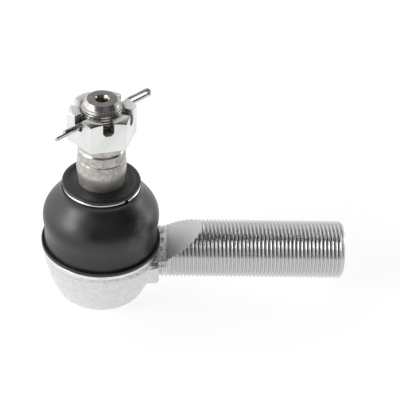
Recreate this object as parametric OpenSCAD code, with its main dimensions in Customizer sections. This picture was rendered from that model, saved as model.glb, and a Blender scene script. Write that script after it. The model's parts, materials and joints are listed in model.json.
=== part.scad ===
// Tie rod end: a forged socket with a threaded shank, and a ball stud held in it
// between two plastic seats, under a rubber boot. The stud carries a castle nut
// and its split pin.
// The ball's centre is the origin, the stud stands along +Z and the shank runs
// along +X. Lengths are in millimetres.

/* [Ball and seats] */
// Diameter of the stud's ball
ball_d = 35; // [29:0.5:42]
// Width of the flat under the ball
ball_flat_d = 18; // [14:0.5:20]
// Wall of the plastic seats at the ball's equator
seat_wall = 3.5; // [2.8:0.1:5]
// Width of the hole through the lower seat
seat_hole_d = 23; // [20:0.5:25]
// Thickness of the pressed plate under the lower seat
plate_t = 1.2; // [0.8:0.1:2]
// Furthest that the stud leans, in degrees
swing_max = 22; // [15:1:25]

/* [Socket] */
// Wall of the socket at its girth
socket_wall = 9.07; // [8:0.01:12]
// Height of the socket's rim over the ball's centre
rim_z = 3; // [2:0.1:4]
// Height of the socket's widest girth over the ball's centre
girth_z = 7.1; // [4:0.1:9]
// Width of the ledge outside the boot's spigot
rim_ledge = 4.05; // [3.5:0.05:4.5]
// Thickness of the shoulder over the upper seat
shoulder_t = 3.2; // [2.5:0.1:5]
// Round on the socket's lower edge
socket_round = 2.6; // [1:0.1:3]

/* [Neck and shank] */
// Diameter over the shank's thread
shank_d = 30; // [25:0.5:36]
// Distance from the stud's axis to the shank's free end
shank_reach = 125.5; // [104:0.5:151]
// Chamfer on the shank's free end
shank_chamfer = 1.4; // [0.5:0.1:2.5]
// Depth of the shank's thread, left off where the boot's clearance cut breaks it
thread_depth = 1.2; // [0.9:0.1:1.5]
// Slope of the boot's clearance cut across the shank, in degrees
cut_slope = 32.5; // [28:0.5:38]
// Height of the neck's flattened top over the shank's axis
neck_top = 2.65; // [1.5:0.05:3]
// Distance from the socket to the foot of the sloping cut
neck_land = 2.9; // [2:0.1:5]
// How far the neck block stands out past the socket's girth
block_proud = 0.15; // [0:0.05:3]
// How far the neck block stands out past the shank on each side
block_side = 2; // [1:0.1:3]
// Depth of the neck block below the shank's axis
block_depth = 11.6; // [8:0.1:14]
// Height of the neck block's ledge over the shank's axis
block_top = 1.4; // [0:0.1:2]
// Round on the neck block's lower edges
block_round = 4; // [2:0.1:6]

/* [End cover and spring] */
// Free gap between the pressed plate and the cover
spring_space = 4.6; // [4:0.1:8]
// Wire diameter of the preload spring
spring_wire = 2.2; // [1.6:0.1:2.4]
// Thickness of the end cover
cover_t = 2.6; // [2:0.1:4]
// Width of the ledge that the cover seats on
cover_ledge = 1.15; // [0.8:0.05:1.5]
// Thickness of the lip that is rolled over the cover
crimp_t = 2.3; // [1.8:0.1:3]
// How far the rolled lip reaches in over the cover
crimp_reach = 2.65; // [2:0.05:4]
// Wall outside the cover's edge
crimp_wall = 1.4; // [1.2:0.05:2.5]
// Section of the cover's sealing ring
seal_d = 1.2; // [0.8:0.1:1.4]
// Width of the pressed dish in the cover
dish_d = 24; // [18:1:30]
// Depth of the pressed dish in the cover
dish_depth = 1.2; // [0.6:0.1:1.6]

/* [Stud] */
// Diameter of the neck over the ball
neck_d = 18.5; // [15:0.5:20]
// Length of the neck's straight stretch above the socket
neck_straight = 7; // [5:0.5:10]
// Diameter of the land that the boot's lip turns on
land_d = 23.2; // [20:0.1:26]
// Length of the land
land_len = 10; // [7:0.5:12]
// Largest diameter of the taper
taper_d = 24.9; // [22:0.1:28]
// Length of the taper
taper_len = 12.1; // [10:0.1:30]
// Taper across the diameter, one in this many
taper_ratio = 8; // [6:1:10]
// Diameter of the relief under the nut
relief_d = 21.8; // [20.5:0.1:22.5]
// Length of the relief under the nut
relief_len = 7; // [4:0.1:10]
// Diameter over the stud's thread
thread_d = 20; // [16:0.5:22]
// Length of thread that stands out of the nut
thread_proud = 5.1; // [2:0.1:8]
// Diameter of the flat on the stud's end
end_flat_d = 14.1; // [11:0.1:15]
// Height of the chamfer round the stud's end
end_chamfer = 1.2; // [0.8:0.1:2]
// Diameter of the turning centre in the stud's end
centre_d = 6.4; // [4:0.1:8]

/* [Castle nut and split pin] */
// Width across the nut's flats
nut_af = 30; // [27:0.5:34]
// Height of the nut
nut_h = 16; // [14:0.1:20]
// Turn of the nut's slots about the stud, in degrees
nut_turn = 43.1; // [0:0.1:60]
// Width of the nut's slots
slot_w = 5.5; // [4.5:0.1:6.5]
// Depth of the nut's slots
slot_depth = 6.9; // [6:0.1:9]
// Height of the chamfer at the nut's crown
crown_chamfer = 1.5; // [1:0.1:2.5]
// Diameter of the split pin's two legs together
pin_d = 3.2; // [2.5:0.1:3.6]
// Length of the longer leg from the stud's axis
pin_long = 29.5; // [20:0.5:32]
// How much shorter the other leg is
pin_step = 4; // [2:0.5:6]
// Distance from the stud's axis to the start of the pin's eye
eye_start = 17; // [16:0.5:24]
// Length of the pin's eye
eye_len = 15.5; // [9:0.5:17]
// Width of the pin's eye
eye_w = 4; // [4:0.1:8]
// Turn of the split pin about its own length
pin_roll = 41; // [0:1:90]

/* [Boot] */
// Height of the boot from the socket's rim to its lip
boot_h = 41; // [35:0.5:50]
// Wall of the boot
boot_wall = 2.8; // [2:0.1:3]
// Width of the boot's neck under the lip
lip_neck_d = 40; // [36:0.5:44]
// Thickness of the boot's lip above the wire ring
lip_t = 2; // [1.5:0.1:3]
// Wire diameter of the ring round the boot's neck
ring_wire = 1.8; // [1.2:0.1:2]
// Angle left open between the ring's ends, in degrees
ring_gap = 6; // [4:1:20]
// Thickness of the steel insert in the boot's base
insert_t = 0.9; // [0.6:0.1:1.2]
// Height of the insert's sleeve
insert_h = 6.5; // [4:0.1:8]
// Height of the boot's base flange
flange_h = 4.1; // [3:0.1:5]

/* [Fits] */
// Radial clearance of the ball in its seats
ball_gap = 0.05; // [0.02:0.01:0.1]
// Radial clearance between pieces that turn on each other
run_gap = 0.05; // [0.02:0.01:0.1]
// Clearance between pieces that are pressed or stacked together
seat_gap = 0.05; // [0.02:0.01:0.1]
// Clearance left round the leaning neck
throat_gap = 0.4; // [0.3:0.1:0.8]

/* [Hidden] */
$fn = 96;
eps = 0.01;

// Ball, seats and the mouth of the socket
ball_r = ball_d / 2;
cavity_r = ball_r + ball_gap;
bore_r = ball_r + seat_wall;
seat_hole_r = seat_hole_d / 2;
neck_r = neck_d / 2;
throat_r0 = neck_r / cos(swing_max) + throat_gap;
throat_slope = tan(swing_max);
mouth_r = ball_r + 0.3;
// Height where the leaning neck's envelope leaves the ball's envelope
mouth_z = (-throat_r0 * throat_slope
           + sqrt(pow(throat_r0 * throat_slope, 2)
                  - (1 + pow(throat_slope, 2)) * (pow(throat_r0, 2) - pow(mouth_r, 2))))
          / (1 + pow(throat_slope, 2));
shoulder_z = mouth_z + 0.5;
spigot_top = shoulder_z + shoulder_t;

// Stack below the ball
seat_floor_z = -sqrt(pow(cavity_r, 2) - pow(seat_hole_r, 2)) - 0.5;
plate_z = seat_floor_z - plate_t;
ledge_z = plate_z - spring_space;
cover_z = ledge_z - cover_t;
socket_z = cover_z - crimp_t;
seat_split = 0.15;

// Socket's outline
socket_r = bore_r + socket_wall;
spigot_r = socket_r - rim_ledge;
cover_bore_r = bore_r + cover_ledge;
girth_drop = socket_r - cover_bore_r - crimp_wall;
barrel_r = (pow(girth_z - cover_z, 2) + pow(girth_drop, 2)) / (2 * girth_drop);

// Neck and shank
shank_r = shank_d / 2;
block_x = socket_r + block_proud;
cut_x = socket_r + neck_land;
full_x = cut_x + (shank_r - neck_top) / tan(cut_slope);
root_r = shank_r - thread_depth;

// Boot
boot_z = rim_z + seat_gap;
boot_top = rim_z + boot_h;
sleeve_r = spigot_r + run_gap;
insert_r = sleeve_r + insert_t;
flange_r = socket_r + 0.5;
foot_r = socket_r - 0.1;
waist_r = sleeve_r + boot_wall;
bulge_r = waist_r + 0.65;
foot_z = boot_z + insert_t + flange_h;
waist_z = spigot_top + 0.5;
bulge_z = waist_z + 7.5;
lip_neck_r = lip_neck_d / 2;
lip_r = lip_neck_r - 0.3;
ring_z = boot_top - lip_t - ring_wire / 2 - 0.1;
ring_groove_r = lip_r - ring_wire;
neck_under_z = ring_z - ring_wire / 2 - 0.2;
lip_floor_z = neck_under_z - 2;

// Stud's heights, stacked upwards from the boot
land_r = land_d / 2;
taper_r = taper_d / 2;
land_top = boot_top + 1.5;
land_z = land_top - land_len;
taper_z = boot_top + 7.5;
taper_top = taper_z + taper_len;
taper_top_r = taper_r - taper_len / taper_ratio / 2;
nut_z = taper_top + relief_len;
nut_top = nut_z + nut_h;
stud_top = nut_top + thread_proud;
relief_r = relief_d / 2;
thread_r = thread_d / 2;
slot_z = nut_top - slot_depth;
pin_z = slot_z + pin_d / 2 + 0.9;
pin_hole_r = pin_d / 2 + 0.4;

// Ring of a revolved outline
module turned(points) { rotate_extrude() polygon(points); }

// Straight cylinder between two heights
module post(r, z0, z1) { translate([0, 0, z0]) cylinder(r = r, h = z1 - z0); }

// Cone frustum between two heights
module frustum(r0, r1, z0, z1) { translate([0, 0, z0]) cylinder(r1 = r0, r2 = r1, h = z1 - z0); }

// Rod along +X between two distances
module rod(r, x0, x1) { translate([x0, 0, 0]) rotate([0, 90, 0]) cylinder(r = r, h = x1 - x0); }

// Smooth step from a to b as u goes from 0 to 1
function eased(a, b, u) = a + (b - a) * (1 - cos(180 * u)) / 2;

// Radius of the boot's outside at a height between its foot and its neck
function boot_r(z) =
    z < waist_z ? eased(foot_r, waist_r, (z - foot_z) / (waist_z - foot_z))
    : z < bulge_z ? eased(waist_r, bulge_r, (z - waist_z) / (bulge_z - waist_z))
    : lip_neck_r + (bulge_r - lip_neck_r)
      * pow(max(0, 1 - pow((z - bulge_z) / (neck_under_z - bulge_z), 2.15)), 1.9);

// ---------------------------------------------------------------- socket body

// Barrel-shaped outside of the socket
module socket_body() {
    rotate_extrude() intersection() {
        translate([socket_r - barrel_r, girth_z]) circle(r = barrel_r, $fn = 180);
        union() {
            translate([0, socket_z + socket_round])
                square([socket_r, rim_z - socket_z - socket_round]);
            translate([0, socket_z])
                square([cover_bore_r + crimp_wall - socket_round - 0.6, socket_round + eps]);
            translate([cover_bore_r + crimp_wall - socket_round - 0.6, socket_z + socket_round])
                circle(r = socket_round);
        }
    }
    post(spigot_r, rim_z - eps, spigot_top);
}

// Block that joins the socket to the shank, with rounded lower edges
module neck_block() {
    half = shank_r + block_side;
    rotate([90, 0, 90]) linear_extrude(height = block_x) {
        translate([-half, block_round - block_depth])
            square([2 * half, block_depth - block_round + block_top]);
        translate([block_round - half, -block_depth])
            square([2 * (half - block_round), block_round + eps]);
        for (side = [-1, 1])
            translate([side * (half - block_round), block_round - block_depth])
                circle(r = block_round);
    }
}

// Room that the boot needs over the neck: a level land and a sloping cut
module neck_cut() {
    wide = shank_d + 10;
    tall = shank_d;
    translate([0, wide / 2, 0]) rotate([90, 0, 0]) linear_extrude(height = wide)
        polygon([[0, neck_top], [cut_x, neck_top],
                 [cut_x + tall / tan(cut_slope), neck_top + tall], [0, neck_top + tall]]);
}

module housing() color("gainsboro") difference() {
    union() {
        socket_body();
        difference() {
            union() {
                neck_block();
                rod(root_r, 0, full_x + eps);
                rod(shank_r, full_x, shank_reach - shank_chamfer);
                translate([shank_reach - shank_chamfer, 0, 0]) rotate([0, 90, 0])
                    cylinder(r1 = shank_r, r2 = shank_r - shank_chamfer, h = shank_chamfer);
            }
            neck_cut();
        }
    }
    post(bore_r, ledge_z - eps, shoulder_z);
    frustum(throat_r0 + (shoulder_z - 1) * throat_slope,
            throat_r0 + (spigot_top + 1) * throat_slope, shoulder_z - 1, spigot_top + 1);
    post(cover_bore_r, cover_z, ledge_z);
    post(cover_bore_r - crimp_reach, socket_z - 1, cover_z + eps);
}

// -------------------------------------------------------- under the ball

module end_cover() color("lightgray") {
    rim = cover_bore_r - seat_gap;
    dish_r = dish_d / 2;
    groove_z = (ledge_z + cover_z) / 2;
    difference() {
        union() {
            post(rim, cover_z + seat_gap, ledge_z - seat_gap);
            frustum(dish_r - 1, dish_r, cover_z - dish_depth, cover_z + seat_gap + eps);
        }
        frustum(dish_r - 2.2, dish_r - 1.2, ledge_z - dish_depth, ledge_z);
        difference() {
            post(rim + 1, groove_z - seal_d / 2 - seat_gap, groove_z + seal_d / 2 + seat_gap);
            post(rim - seal_d - seat_gap, cover_z, ledge_z);
        }
    }
}

module cover_seal() color("black")
    rotate_extrude() translate([cover_bore_r - seat_gap - seal_d / 2, (ledge_z + cover_z) / 2])
        circle(r = seal_d / 2);

// Conical coil: each ring of points is a section of the wire, square to its run
module preload_spring() color("dimgray") {
    turns = 2.25;
    steps = round(turns * 20);
    sides = 8;
    r0 = bore_r - spring_wire / 2 - 1.2;
    r1 = seat_hole_r + spring_wire / 2 + 0.8;
    z0 = ledge_z + spring_wire / 2 + seat_gap;
    z1 = plate_z - spring_wire / 2 - seat_gap;
    points = [for (i = [0 : steps]) let (u = i / steps, a = 360 * turns * u,
                                        r = r0 + (r1 - r0) * u, z = z0 + (z1 - z0) * u)
              for (k = [0 : sides - 1]) let (b = 360 * k / sides,
                                            d = r + spring_wire / 2 * cos(b))
              [d * cos(a), d * sin(a), z + spring_wire / 2 * sin(b)]];
    walls = [for (i = [0 : steps - 1]) for (k = [0 : sides - 1])
             let (m = (k + 1) % sides)
             [i * sides + k, (i + 1) * sides + k, (i + 1) * sides + m, i * sides + m]];
    first = [for (k = [0 : sides - 1]) k];
    last = [for (k = [sides - 1 : -1 : 0]) steps * sides + k];
    polyhedron(points = points, faces = concat(walls, [first, last]));
}

module spring_plate() color("silver") difference() {
    post(bore_r - seat_gap - 0.3, plate_z, seat_floor_z - seat_gap);
    post(seat_hole_r + 0.4, plate_z - 1, seat_floor_z + 1);
}

// -------------------------------------------------------- seats of the ball

module lower_seat() color("ivory") difference() {
    post(bore_r - seat_gap, seat_floor_z, -seat_split);
    sphere(r = cavity_r);
    post(seat_hole_r, seat_floor_z - 1, 0);
}

module upper_seat() color("ivory") difference() {
    post(bore_r - seat_gap, seat_split, shoulder_z - seat_gap);
    sphere(r = cavity_r);
    frustum(throat_r0, throat_r0 + (shoulder_z + 1) * throat_slope, 0, shoulder_z + 1);
}

// -------------------------------------------------------- stud

module ball_stud() color("darkgray") difference() {
    straight_top = spigot_top + neck_straight;
    union() {
        intersection() {
            sphere(r = ball_r);
            post(ball_r + 1, -sqrt(pow(ball_r, 2) - pow(ball_flat_d / 2, 2)), ball_r + 1);
        }
        post(neck_r, ball_r / 2, straight_top);
        frustum(neck_r, land_r, straight_top, land_z);
        post(land_r, land_z, land_top);
        frustum(land_r, taper_r, land_top, taper_z);
        frustum(taper_r, taper_top_r, taper_z, taper_top);
        post(relief_r, taper_top, nut_z - 0.1);
        post(thread_r, nut_z - 0.1, stud_top - end_chamfer);
        frustum(thread_r, end_flat_d / 2, stud_top - end_chamfer, stud_top);
    }
    frustum(0.8, centre_d / 2, stud_top - centre_d / 2, stud_top + eps);
    post(0.8, stud_top - centre_d, stud_top - centre_d / 2 + eps);
    translate([0, 0, pin_z]) rotate([0, 0, nut_turn]) rotate([0, 90, 0])
        cylinder(r = pin_hole_r, h = 2 * thread_d, center = true);
}

// -------------------------------------------------------- boot

module boot_insert() color("silver") turned([
    [sleeve_r, boot_z], [socket_r + 0.2, boot_z], [socket_r + 0.2, boot_z + insert_t],
    [insert_r, boot_z + insert_t], [insert_r, boot_z + insert_h], [sleeve_r, boot_z + insert_h]]);

module dust_boot() color("#2a2a28") {
    base_z = boot_z + insert_t;
    lip_bore = land_r + run_gap;
    edge = 1.4;
    steps = 24;
    rise = neck_under_z - foot_z;
    flange = [for (a = [0 : 15 : 90])
              [flange_r - edge + edge * cos(a), foot_z - edge + edge * sin(a)]];
    outside = [for (i = [0 : steps]) let (z = foot_z + rise * i / steps) [boot_r(z), z]];
    lip = [[ring_groove_r, neck_under_z], [ring_groove_r, boot_top - lip_t],
           [lip_r - 0.4, boot_top - lip_t], [lip_r, boot_top - lip_t + 0.4],
           [lip_r, boot_top - 0.9], [lip_r - 0.8, boot_top - 0.1], [lip_r - 2.7, boot_top - 0.1],
           [lip_r - 3.5, boot_top - 0.7], [lip_bore + 1.6, boot_top - 0.6],
           [lip_bore, boot_top], [lip_bore, lip_floor_z]];
    inside = [for (i = [0 : steps])
              let (z = lip_floor_z + (waist_z - lip_floor_z) * i / steps)
              [boot_r(z) - boot_wall, z]];
    base = [[sleeve_r, waist_z - 1], [sleeve_r, boot_z + insert_h + seat_gap],
            [insert_r + seat_gap, boot_z + insert_h + seat_gap],
            [insert_r + seat_gap, base_z + seat_gap], [flange_r, base_z + seat_gap]];
    turned(concat(flange, outside, lip, inside, base));
}

module boot_wire_ring() color("whitesmoke")
    rotate([0, 0, ring_gap / 2 - 40]) rotate_extrude(angle = 360 - ring_gap)
        translate([ring_groove_r + run_gap + ring_wire / 2, ring_z]) circle(r = ring_wire / 2);

// -------------------------------------------------------- nut and pin

module castle_nut() color("whitesmoke") {
    corner_r = nut_af / 2 / cos(30);
    rotate([0, 0, nut_turn]) difference() {
        intersection() {
            translate([0, 0, nut_z]) rotate([0, 0, 30]) cylinder(r = corner_r, h = nut_h, $fn = 6);
            union() {
                frustum(corner_r - 1.6, corner_r, nut_z, nut_z + 1);
                post(corner_r, nut_z + 1 - eps, nut_top - crown_chamfer + eps);
                frustum(corner_r, corner_r - 2 * crown_chamfer, nut_top - crown_chamfer, nut_top);
            }
        }
        post(thread_r + seat_gap, nut_z - 1, nut_top + 1);
        for (a = [0, 60, 120]) rotate([0, 0, a])
            translate([-nut_af, -slot_w / 2, slot_z]) cube([2 * nut_af, slot_w, nut_h]);
    }
}

// Two legs lie side by side, and run into one elongated eye
module split_pin() color("whitesmoke") translate([0, 0, pin_z]) rotate([0, 0, nut_turn]) rotate([pin_roll, 0, 0]) {
    leg_r = pin_d / 2;
    bend_r = eye_w / 2 - leg_r / 2;
    straight = eye_len - eye_w;
    rod(leg_r, -(pin_long - pin_step), eye_start);
    intersection() {
        rod(leg_r, -pin_long, eye_start);
        translate([-pin_long, -pin_d, -pin_d]) cube([pin_long, pin_d, 2 * pin_d]);
    }
    translate([eye_start + eye_w / 2, 0, 0]) {
        for (end = [[0, 90], [straight, -90]]) translate([end[0], 0, 0]) rotate([0, 0, end[1]])
            rotate_extrude(angle = 180) translate([bend_r, 0]) circle(r = leg_r / 2 + 0.2);
        for (side = [-1, 1]) translate([0, side * bend_r, 0]) rod(leg_r / 2 + 0.2, -eps, straight + eps);
    }
}

housing();
end_cover();
cover_seal();
preload_spring();
spring_plate();
lower_seat();
upper_seat();
ball_stud();
boot_insert();
dust_boot();
boot_wire_ring();
castle_nut();
split_pin();
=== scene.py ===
"""Looks of a tie rod end: a forged socket with a threaded shank, a ball stud in a rubber boot, and its nut.

Every length in this script is in millimetres until a mesh is made, which is in metres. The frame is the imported
part's own: the ball's centre is the origin, the stud stands along +Z and the shank runs along +X.
"""
import json
import logging
import math
from dataclasses import dataclass, field
from enum import Enum
from typing import Callable, Sequence

import bmesh
import bpy
import numpy as np
from mathutils import Matrix, Vector


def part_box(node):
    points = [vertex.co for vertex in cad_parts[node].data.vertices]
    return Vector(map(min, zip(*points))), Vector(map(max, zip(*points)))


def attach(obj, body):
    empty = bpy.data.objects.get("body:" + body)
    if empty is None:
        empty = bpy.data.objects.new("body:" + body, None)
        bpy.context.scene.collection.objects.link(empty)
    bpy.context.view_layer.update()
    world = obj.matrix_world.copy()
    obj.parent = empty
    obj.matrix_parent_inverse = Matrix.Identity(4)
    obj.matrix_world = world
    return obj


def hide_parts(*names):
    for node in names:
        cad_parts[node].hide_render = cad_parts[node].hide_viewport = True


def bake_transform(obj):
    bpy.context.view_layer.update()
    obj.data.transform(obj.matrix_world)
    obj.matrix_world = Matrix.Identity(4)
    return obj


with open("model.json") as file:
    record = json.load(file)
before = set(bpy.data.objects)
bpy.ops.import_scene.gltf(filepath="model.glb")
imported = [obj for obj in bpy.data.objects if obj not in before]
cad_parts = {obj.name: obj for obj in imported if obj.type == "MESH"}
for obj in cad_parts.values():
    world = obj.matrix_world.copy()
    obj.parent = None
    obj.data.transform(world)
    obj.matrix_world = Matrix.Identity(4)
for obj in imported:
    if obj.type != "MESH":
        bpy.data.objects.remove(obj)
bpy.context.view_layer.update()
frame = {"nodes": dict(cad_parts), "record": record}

MM = 0.001
TURN = 2.0 * math.pi
SHARP_ANGLE = math.radians(32.0)
LOG = logging.getLogger("tie_rod_end")
COIL_STEPS = 96
WIRE_SIDES = 14
NECK_TOP = 2.65
CUT_SLOPE = 32.5


class Body(str, Enum):
    """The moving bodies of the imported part."""

    SOCKET = "socket"
    BOOT = "boot"
    BOOT_NECK = "boot_neck"
    STUD = "stud"


class Side(Enum):
    """Which way a boolean joins two meshes."""

    JOIN = "UNION"
    CUT = "DIFFERENCE"
    KEEP = "INTERSECT"


# ----------------------------------------------------------------------------------------------- frame


def mount(name: str) -> dict:
    """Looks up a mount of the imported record.

    Args:
        name: the mount's name.

    Returns:
        The mount as the record states it.
    """
    return next(m for m in frame["record"]["mounts"] if m["name"] == name)


def low(node: str, axis: int) -> float:
    """Lowest coordinate of a CAD node along an axis, in millimetres."""
    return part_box(node)[0][axis] / MM


def high(node: str, axis: int) -> float:
    """Highest coordinate of a CAD node along an axis, in millimetres."""
    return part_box(node)[1][axis] / MM


# ---------------------------------------------------------------------------------------------- meshes


def make_object(name: str, verts: np.ndarray, faces: Sequence[Sequence[int]]) -> bpy.types.Object:
    """Makes a mesh object at the origin.

    Args:
        name: the object's name.
        verts: points in millimetres, one row each.
        faces: lists of point numbers.

    Returns:
        The new object, linked to the scene.
    """
    mesh = bpy.data.meshes.new(name)
    mesh.from_pydata((np.asarray(verts, float) * MM).tolist(), [], [list(map(int, f)) for f in faces])
    mesh.update()
    obj = bpy.data.objects.new(name, mesh)
    bpy.context.scene.collection.objects.link(obj)
    return obj


def tidy_mesh(obj: bpy.types.Object, weld: float = 0.0005, sharp: float = SHARP_ANGLE) -> bpy.types.Object:
    """Welds doubles, turns faces outwards and shades smooth up to an angle.

    Args:
        obj: the mesh object.
        weld: distance in millimetres under which points are merged.
        sharp: angle in radians over which an edge stays sharp.

    Returns:
        The same object.
    """
    bm = bmesh.new()
    bm.from_mesh(obj.data)
    bmesh.ops.remove_doubles(bm, verts=bm.verts, dist=weld * MM)
    bmesh.ops.dissolve_degenerate(bm, edges=bm.edges, dist=weld * MM)
    bmesh.ops.recalc_face_normals(bm, faces=bm.faces)
    bm.to_mesh(obj.data)
    bm.free()
    obj.data.shade_smooth()
    obj.data.set_sharp_from_angle(angle=sharp)
    return obj


def apply_modifiers(obj: bpy.types.Object) -> bpy.types.Object:
    """Replaces an object's mesh by its evaluated mesh and removes its modifiers.

    Args:
        obj: the object with modifiers.

    Returns:
        The same object, with a plain mesh.
    """
    bpy.context.view_layer.update()
    graph = bpy.context.evaluated_depsgraph_get()
    mesh = bpy.data.meshes.new_from_object(obj.evaluated_get(graph))
    old = obj.data
    obj.modifiers.clear()
    obj.data = mesh
    mesh.name = obj.name
    bpy.data.meshes.remove(old)
    return obj


def combine(obj: bpy.types.Object, tool: bpy.types.Object, side: Side) -> bpy.types.Object:
    """Joins, cuts or trims a closed mesh with another one, which is then deleted.

    Args:
        obj: the mesh that is changed.
        tool: the mesh that changes it.
        side: what is kept.

    Returns:
        The changed object.
    """
    modifier = obj.modifiers.new("boolean", "BOOLEAN")
    modifier.operation = side.value
    modifier.object = tool
    modifier.solver = "MANIFOLD"
    apply_modifiers(obj)
    bpy.data.objects.remove(tool)
    return obj


def crisp_flats(obj: bpy.types.Object, area: float) -> bpy.types.Object:
    """Keeps wide flat faces flat in the shading, by making the edges round them sharp.

    Args:
        obj: the mesh object.
        area: flat patches over this area, in square millimetres, are kept crisp.

    Returns:
        The same object.
    """
    bm = bmesh.new()
    bm.from_mesh(obj.data)
    big = {face.index for face in bm.faces if face.calc_area() > area * MM * MM}
    for edge in bm.edges:
        faces = edge.link_faces
        if len(faces) == 2 and any(f.index in big for f in faces):
            if faces[0].normal.angle(faces[1].normal, 0.0) > math.radians(1.5):
                edge.smooth = False
    bm.to_mesh(obj.data)
    bm.free()
    return obj


def bevel(obj: bpy.types.Object, width: float, segments: int = 2, angle: float = 35.0) -> bpy.types.Object:
    """Rounds an object's sharp edges.

    Args:
        obj: the mesh object.
        width: width of the round in millimetres.
        segments: strips across the round.
        angle: edges sharper than this, in degrees, are rounded.

    Returns:
        The same object, with a plain mesh.
    """
    modifier = obj.modifiers.new("bevel", "BEVEL")
    modifier.width = width * MM
    modifier.segments = segments
    modifier.limit_method = "ANGLE"
    modifier.angle_limit = math.radians(angle)
    modifier.use_clamp_overlap = True
    modifier.harden_normals = False
    return apply_modifiers(obj)


def rounded(corners: Sequence[tuple[float, ...]], closed: bool = True, step: float = 15.0) -> np.ndarray:
    """Turns corners with fillets into a fine outline.

    Args:
        corners: (r, z) or (r, z, fillet) for each corner, in millimetres.
        closed: whether the last corner joins the first.
        step: largest turn of the outline between two points, in degrees.

    Returns:
        The outline's points, one row each.
    """
    count = len(corners)
    points: list[np.ndarray] = []
    for i, corner in enumerate(corners):
        here = np.array(corner[:2], float)
        fillet = corner[2] if len(corner) > 2 else 0.0
        ends = not closed and i in (0, count - 1)
        before = np.array(corners[i - 1][:2], float) - here
        after = np.array(corners[(i + 1) % count][:2], float) - here
        a, b = np.linalg.norm(before), np.linalg.norm(after)
        if fillet <= 0 or ends or min(a, b) < 1e-6:
            points.append(here)
            continue
        before, after = before / a, after / b
        half = math.acos(float(np.clip(before @ after, -1, 1))) / 2
        if half > math.radians(89):
            points.append(here)
            continue
        reach = min(fillet / math.tan(half), 0.48 * a, 0.48 * b)
        radius = reach * math.tan(half)
        middle = before + after
        centre = here + middle / np.linalg.norm(middle) * radius / math.sin(half)
        start, stop = here + before * reach - centre, here + after * reach - centre
        sweep = math.pi - 2 * half
        pieces = max(2, math.ceil(math.degrees(sweep) / step))
        for k in range(pieces + 1):
            u = k / pieces
            mixed = (math.sin((1 - u) * sweep) * start + math.sin(u * sweep) * stop) / math.sin(sweep)
            points.append(centre + mixed)
    return np.array(points)


def revolve(name: str, outline: np.ndarray, segments: int = 128) -> bpy.types.Object:
    """Turns an outline about the Z axis into a closed solid.

    Args:
        name: the object's name.
        outline: (r, z) points. If both ends lie on the axis they become poles, and if not the outline is closed.
        segments: strips round the axis.

    Returns:
        The object.
    """
    poles = outline[0][0] < 1e-6 and outline[-1][0] < 1e-6
    rows = outline[1:-1] if poles else outline
    angles = np.arange(segments) * TURN / segments
    ring = np.stack([np.cos(angles), np.sin(angles)], 1)
    verts = [np.column_stack([ring * r, np.full(segments, z)]) for r, z in rows]
    faces = []
    count = len(rows)
    for i in range(count - 1 if poles else count):
        a, b = i * segments, (i + 1) % count * segments
        for j in range(segments):
            k = (j + 1) % segments
            faces.append((a + j, a + k, b + k, b + j))
    points = np.vstack(verts)
    if poles:
        first, last = len(points), len(points) + 1
        points = np.vstack([points, [[0, 0, outline[0][1]], [0, 0, outline[-1][1]]]])
        end = (count - 1) * segments
        for j in range(segments):
            k = (j + 1) % segments
            faces.append((first, k, j))
            faces.append((last, end + j, end + k))
    return tidy_mesh(make_object(name, points, faces))


def prism(name: str, outline: np.ndarray, start: float, end: float, plane: Callable) -> bpy.types.Object:
    """Extrudes a closed outline.

    Args:
        name: the object's name.
        outline: (u, v) points.
        start: where the prism starts along its own axis.
        end: where it ends.
        plane: turns arrays (u, v, w) into X, Y and Z.

    Returns:
        The object.
    """
    count = len(outline)
    u, v = outline[:, 0], outline[:, 1]
    caps = [np.column_stack(plane(u, v, np.full(count, w))) for w in (start, end)]
    faces: list[Sequence[int]] = [tuple(range(count)), tuple(range(2 * count - 1, count - 1, -1))]
    faces += [(i, (i + 1) % count, count + (i + 1) % count, count + i) for i in range(count)]
    return tidy_mesh(make_object(name, np.vstack(caps), faces))


def sweep(name: str, path: np.ndarray, section: np.ndarray) -> bpy.types.Object:
    """Sweeps a closed section along a path that lies level.

    Args:
        name: the object's name.
        path: (x, y, z) points.
        section: (sideways, up) points, where sideways is to the left of the path's run.

    Returns:
        The closed object.
    """
    run = np.gradient(path[:, :2], axis=0)
    run /= np.linalg.norm(run, axis=1)[:, None]
    left = np.column_stack([-run[:, 1], run[:, 0], np.zeros(len(path))])
    up = np.array([0.0, 0.0, 1.0])
    rings = [p + section[:, :1] * n + section[:, 1:] * up for p, n in zip(path, left)]
    count, rows = len(section), len(path)
    faces: list[Sequence[int]] = [tuple(range(count)), tuple(range(rows * count - 1, (rows - 1) * count - 1, -1))]
    for i in range(rows - 1):
        for k in range(count):
            m = (k + 1) % count
            faces.append((i * count + k, (i + 1) * count + k, (i + 1) * count + m, i * count + m))
    return tidy_mesh(make_object(name, np.vstack(rings), faces))


# -------------------------------------------------------------------------------------- geometry nodes


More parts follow.
